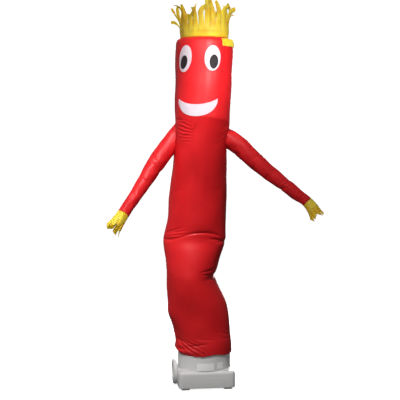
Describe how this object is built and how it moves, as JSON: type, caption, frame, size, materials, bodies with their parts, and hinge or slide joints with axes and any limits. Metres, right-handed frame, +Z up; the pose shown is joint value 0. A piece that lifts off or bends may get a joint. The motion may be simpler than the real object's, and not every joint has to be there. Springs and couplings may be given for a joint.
{
  "type": "inflatable air dancer on a fan blower",
  "caption": "Standing red fabric tube figure with a smiling face, two arms and yellow slit hair and hands, held up by air on a small grey floor blower.",
  "frame": {"origin": "middle of the whole object's box, on the surface the blower stands on", "axes": "+Z up along the figure, -Y out of its face, +X to the viewer's right"},
  "size_m": [1.09, 0.5608, 1.9756],
  "materials": {
    "red_nylon": "satin ripstop nylon",
    "yellow_nylon": "satin nylon",
    "white_cloth": "plain sewn patch",
    "black_cloth": "plain sewn patch",
    "grey_plastic": "fine moulded grain",
    "pale_plastic": "blank plate"
  },
  "bodies": {
    "root": {"body_tube": "red_nylon", "arm_left": "red_nylon", "arm_right": "red_nylon", "cuff_left": "yellow_nylon", "cuff_right": "yellow_nylon", "fingers_left": "yellow_nylon", "fingers_right": "yellow_nylon", "hair_band": "yellow_nylon", "hair": "yellow_nylon", "hair_flap": "yellow_nylon", "eye_left": "white_cloth", "eye_right": "white_cloth", "mouth": "white_cloth", "pupil_left": "black_cloth", "pupil_right": "black_cloth", "blower_housing": "grey_plastic", "air_intake": "grey_plastic", "cord_gland": "grey_plastic", "foot_front_left": "grey_plastic", "foot_front_right": "grey_plastic", "foot_rear_left": "grey_plastic", "foot_rear_right": "grey_plastic", "plate_large": "pale_plastic", "plate_small": "pale_plastic"}
  },
  "joints": []
}
